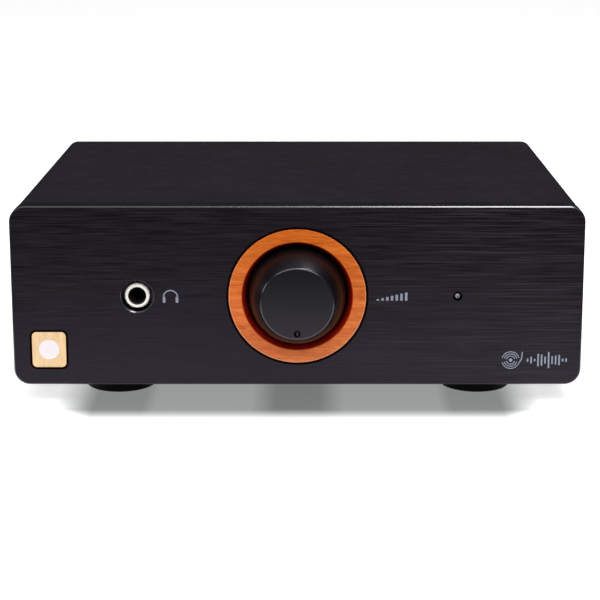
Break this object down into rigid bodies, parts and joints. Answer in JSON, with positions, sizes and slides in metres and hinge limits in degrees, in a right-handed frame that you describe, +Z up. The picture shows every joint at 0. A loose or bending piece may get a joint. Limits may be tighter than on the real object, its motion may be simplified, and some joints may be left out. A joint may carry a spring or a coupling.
{
  "type": "phono preamp",
  "caption": "Desktop phono preamplifier with a thick brushed front panel, a volume knob in a turned wooden ring, a headphone socket, and sockets and switches at the back.",
  "frame": {"origin": "on the table top, below the middle of the overall box, from the knob to the rear earth post", "axes": "+X to the right seen from the front, +Y to the back, +Z up"},
  "size_m": [0.23, 0.1902, 0.0832],
  "materials": {
    "panel_black": "black anodised, brushed along its length",
    "cover_black": "fine satin black coat",
    "sheet_black": "satin black coat",
    "ring_wood": "lacquered orange-brown",
    "badge_wood": "pale, satin",
    "badge_white": "satin white",
    "knob_black": "satin black anodised",
    "steel": "bright zinc",
    "screw_black": "black oxide",
    "nickel": "bright nickel",
    "brass": "gilt",
    "black_plastic": "fine matt",
    "grey_plastic": "matt",
    "white_plastic": "satin",
    "red_plastic": "satin",
    "blue_plastic": "satin",
    "film_red": "gloss",
    "resistor_blue": "lacquered",
    "board_green": "solder mask",
    "lens_smoke": "smoked lens",
    "foot_black": "moulded",
    "rubber": "matt"
  },
  "bodies": {
    "case": {"front_panel": "panel_black", "wooden_ring": "ring_wood", "badge_plate": "badge_wood", "badge_inlay": "badge_white", "pot_bush": "brass", "pot_nut": "steel", "pot_housing": "blue_plastic", "headphone_socket_nose": "nickel", "headphone_socket_body": "black_plastic", "headphone_socket_nut": "nickel", "headphone_contacts": "brass", "power_light": "lens_smoke", "power_light_holder": "black_plastic", "control_board": "board_green", "board_headers": "black_plastic", "base_tray": "sheet_black", "top_cover": "cover_black", "rear_panel": "sheet_black", "panel_screws": "steel", "case_screws": "screw_black", "foot_front_left": "foot_black", "foot_front_right": "foot_black", "foot_back_left": "foot_black", "foot_back_right": "foot_black", "foot_pads": "rubber", "foot_screws": "steel", "main_board": "board_green", "board_standoffs": "brass", "board_screws": "steel", "rear_board": "board_green", "power_capacitors": "blue_plastic", "signal_capacitors": "film_red", "amplifier_chips": "black_plastic", "relays": "white_plastic", "voltage_regulators": "black_plastic", "heat_sinks": "panel_black", "resistors": "resistor_blue", "input_left_socket": "nickel", "input_right_socket": "nickel", "output_left_socket": "nickel", "output_right_socket": "nickel", "socket_rings_white": "white_plastic", "socket_rings_red": "red_plastic", "socket_cores": "white_plastic", "socket_contacts": "brass", "connector_nuts": "nickel", "earth_post": "nickel", "cartridge_switch_body": "steel", "power_switch_body": "black_plastic", "power_inlet_shell": "nickel", "power_inlet_pin": "nickel"},
    "volume_control": {"volume_knob": "knob_black", "knob_grub_screw": "screw_black", "pot_shaft": "steel", "pot_rotor": "grey_plastic"},
    "cartridge_slider": {"cartridge_switch_slider": "black_plastic"},
    "power_rocker": {"power_switch_rocker": "black_plastic"},
    "earth_clamp": {"earth_washer": "nickel"},
    "earth_nut": {"earth_thumb_nut": "brass"}
  },
  "joints": [
    {"name": "volume_turn", "type": "hinge", "parent": "case", "child": "volume_control", "pos_m": [0, -0.0829, 0.0462], "axis": [0, 1, 0], "range_deg": [0, 300]},
    {"name": "cartridge_slide", "type": "slide", "parent": "case", "child": "cartridge_slider", "axis": [1, 0, 0], "range_m": [0, 0.004]},
    {"name": "power_rock", "type": "hinge", "parent": "case", "child": "power_rocker", "pos_m": [0.056, 0.0761, 0.0462], "axis": [1, 0, 0], "range_deg": [0, 18]},
    {"name": "earth_clamp_travel", "type": "slide", "parent": "case", "child": "earth_clamp", "axis": [0, 1, 0], "range_m": [0, 0.0049]},
    {"name": "earth_nut_turn", "type": "hinge", "parent": "earth_clamp", "child": "earth_nut", "pos_m": [-0.096, 0.0821, 0.0462], "axis": [0, 1, 0], "range_deg": [0, 2521]}
  ],
  "couplings": [
    {"joint": "earth_nut_turn", "follows": "earth_clamp_travel", "rad_per_m": 8976}
  ]
}
